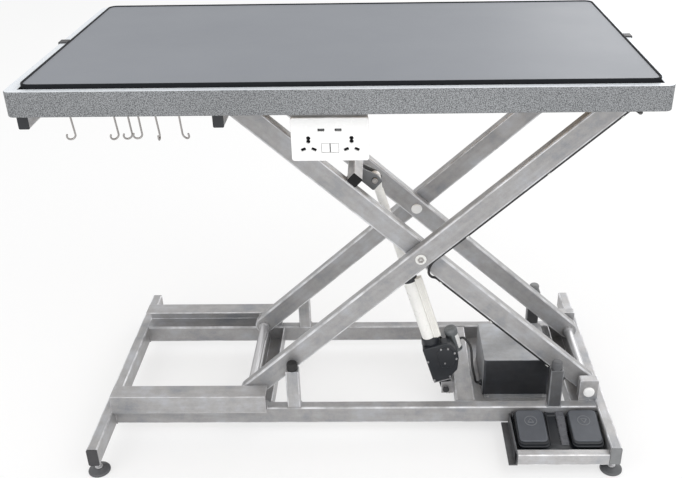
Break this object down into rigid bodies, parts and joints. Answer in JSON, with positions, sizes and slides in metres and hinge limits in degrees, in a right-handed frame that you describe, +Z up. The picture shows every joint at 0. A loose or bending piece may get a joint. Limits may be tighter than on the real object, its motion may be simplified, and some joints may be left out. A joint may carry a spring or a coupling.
{
  "type": "pet grooming table",
  "caption": "Electric scissor-lift pet grooming table with a rubber-topped deck, foot pedals, tool hooks and a power outlet under the edge.",
  "frame": {"origin": "on the floor, under the middle of the base frame", "axes": "+Z up, +X along the table to the right seen from the front, +Y from front to back"},
  "size_m": [1.225, 0.6632, 0.9213],
  "materials": {
    "silver": "satin silver paint",
    "hammer": "speckled silver-grey powder coat",
    "zinc": "bright zinc",
    "black_plastic": "matt black",
    "dark_sheet": "dark grey paint",
    "mat": "grey ribbed rubber",
    "rubber_black": "black cord sheath",
    "grey_plastic": "dark grey",
    "cream": "cream paint",
    "white": "white",
    "ply": "plain plywood",
    "motor": "satin steel can",
    "nylon": "natural nylon",
    "board": "green circuit board"
  },
  "bodies": {
    "base": {"base_cross_tube_left": "silver", "base_cross_tube_right": "silver", "base_long_tube_front": "silver", "base_long_tube_rear": "silver", "base_tie_left": "silver", "base_tie_middle": "silver", "base_tie_right": "silver", "control_cover": "dark_sheet", "control_board": "board", "pedal_tray": "silver", "pedal_base": "black_plastic", "cable_to_control": "rubber_black", "motor_lead": "rubber_black"},
    "inner_arms": {"inner_arm_front": "silver", "inner_arm_rear": "silver", "clevis_bar": "silver", "centre_bolt_front": "zinc", "centre_bolt_rear": "zinc", "lower_pivot_shaft": "zinc", "upper_roller_axle": "zinc", "cable_inner_arm": "rubber_black"},
    "outer_arms": {"outer_arm_front": "silver", "outer_arm_rear": "silver", "lower_roller_axle": "zinc", "upper_pivot_shaft": "zinc", "cable_outer_arm": "rubber_black"},
    "top": {"upper_tube_front": "silver", "upper_tube_rear": "silver", "upper_cross_tube": "silver", "deck_bearer": "silver", "pivot_bearer": "silver", "top_frame": "hammer", "deck_board": "ply", "rubber_mat": "mat", "socket_box": "grey_plastic", "socket_plate": "white", "cable_under_top": "rubber_black"},
    "actuator_housing": {"actuator_gearbox": "black_plastic", "actuator_motor": "motor", "actuator_tube": "cream", "actuator_screw": "zinc"},
    "actuator_rod": {"actuator_rod": "cream"},
    "lower_rollers": {"lower_roller_front": "nylon", "lower_roller_rear": "nylon"},
    "upper_rollers": {"upper_roller_front": "nylon", "upper_roller_rear": "nylon"},
    "pedal_up": {"pedal_up": "grey_plastic"},
    "pedal_down": {"pedal_down": "grey_plastic"},
    "socket_switch_left": {"socket_switch_left": "white"},
    "socket_switch_right": {"socket_switch_right": "white"},
    "foot_front_left": {"foot_front_left": "zinc"},
    "foot_front_right": {"foot_front_right": "zinc"},
    "foot_rear_left": {"foot_rear_left": "zinc"},
    "foot_rear_right": {"foot_rear_right": "zinc"},
    "hook_1": {"hook_1": "zinc"},
    "hook_2": {"hook_2": "zinc"},
    "hook_3": {"hook_3": "zinc"},
    "hook_4": {"hook_4": "zinc"},
    "hook_5": {"hook_5": "zinc"},
    "hook_6": {"hook_6": "zinc"}
  },
  "joints": [
    {"name": "lift", "type": "hinge", "parent": "base", "child": "inner_arms", "pos_m": [0.5575, 0, 0.106], "axis": [0, -1, 0], "range_deg": [0, 35.8], "deforming": ["cable_to_control"]},
    {"name": "outer_arms_turn", "type": "hinge", "parent": "inner_arms", "child": "outer_arms", "pos_m": [0.15334, 0, 0.46863], "axis": [0, -1, 0], "range_deg": [-71.6, 0], "deforming": ["cable_inner_arm"]},
    {"name": "top_level", "type": "hinge", "parent": "outer_arms", "child": "top", "pos_m": [0.5575, 0, 0.83127], "axis": [0, -1, 0], "range_deg": [0, 35.8]},
    {"name": "actuator_swing", "type": "hinge", "parent": "base", "child": "actuator_housing", "pos_m": [0.2255, -0.05, 0.047], "axis": [0, -1, 0], "range_deg": [0, 47.7]},
    {"name": "actuator_stroke", "type": "slide", "parent": "actuator_housing", "child": "actuator_rod", "axis": [-0.2877, 0, 0.9577], "range_m": [-0.17969, 0]},
    {"name": "lower_rollers_turn", "type": "hinge", "parent": "outer_arms", "child": "lower_rollers", "pos_m": [-0.25082, 0, 0.106], "axis": [0, 1, 0], "continuous": true},
    {"name": "upper_rollers_turn", "type": "hinge", "parent": "inner_arms", "child": "upper_rollers", "pos_m": [-0.25082, 0, 0.83127], "axis": [0, 1, 0], "continuous": true},
    {"name": "foot_front_left_height", "type": "slide", "parent": "base", "child": "foot_front_left", "axis": [0, 0, 1], "range_m": [-0.015, 0]},
    {"name": "foot_front_right_height", "type": "slide", "parent": "base", "child": "foot_front_right", "axis": [0, 0, 1], "range_m": [-0.015, 0]},
    {"name": "foot_rear_left_height", "type": "slide", "parent": "base", "child": "foot_rear_left", "axis": [0, 0, 1], "range_m": [-0.015, 0]},
    {"name": "foot_rear_right_height", "type": "slide", "parent": "base", "child": "foot_rear_right", "axis": [0, 0, 1], "range_m": [-0.015, 0]},
    {"name": "pedal_up_press", "type": "hinge", "parent": "base", "child": "pedal_up", "pos_m": [0.4111, -0.1983, 0.066], "axis": [1, 0, 0], "range_deg": [0, 3.5], "stiffness_Nm_per_rad": 12, "springref_deg": -5.73},
    {"name": "pedal_down_press", "type": "hinge", "parent": "base", "child": "pedal_down", "pos_m": [0.5339, -0.1983, 0.066], "axis": [1, 0, 0], "range_deg": [0, 3.5], "stiffness_Nm_per_rad": 12, "springref_deg": -5.73},
    {"name": "socket_switch_left_rock", "type": "hinge", "parent": "top", "child": "socket_switch_left", "pos_m": [-0.0355, -0.2908, 0.78817], "axis": [1, 0, 0], "range_deg": [-10, 0]},
    {"name": "socket_switch_right_rock", "type": "hinge", "parent": "top", "child": "socket_switch_right", "pos_m": [-0.0185, -0.2908, 0.78817], "axis": [1, 0, 0], "range_deg": [-10, 0]},
    {"name": "hook_1_swing", "type": "hinge", "parent": "top", "child": "hook_1", "pos_m": [-0.5075, -0.285, 0.85697], "axis": [1, 0, 0], "range_deg": [-40, 40]},
    {"name": "hook_2_swing", "type": "hinge", "parent": "top", "child": "hook_2", "pos_m": [-0.426, -0.285, 0.85697], "axis": [1, 0, 0], "range_deg": [-40, 40]},
    {"name": "hook_3_swing", "type": "hinge", "parent": "top", "child": "hook_3", "pos_m": [-0.4, -0.285, 0.85697], "axis": [1, 0, 0], "range_deg": [-40, 40]},
    {"name": "hook_4_swing", "type": "hinge", "parent": "top", "child": "hook_4", "pos_m": [-0.381, -0.285, 0.85697], "axis": [1, 0, 0], "range_deg": [-40, 40]},
    {"name": "hook_5_swing", "type": "hinge", "parent": "top", "child": "hook_5", "pos_m": [-0.349, -0.285, 0.85697], "axis": [1, 0, 0], "range_deg": [-40, 40]},
    {"name": "hook_6_swing", "type": "hinge", "parent": "top", "child": "hook_6", "pos_m": [-0.305, -0.285, 0.85697], "axis": [1, 0, 0], "range_deg": [-40, 40]}
  ],
  "couplings": [
    {"joint": "outer_arms_turn", "follows": "lift", "ratio": -2},
    {"joint": "top_level", "follows": "lift", "ratio": 1},
    {"joint": "actuator_swing", "follows": "lift", "ratio": 1.3319},
    {"joint": "actuator_stroke", "follows": "lift", "m_per_rad": -0.28743}
  ]
}
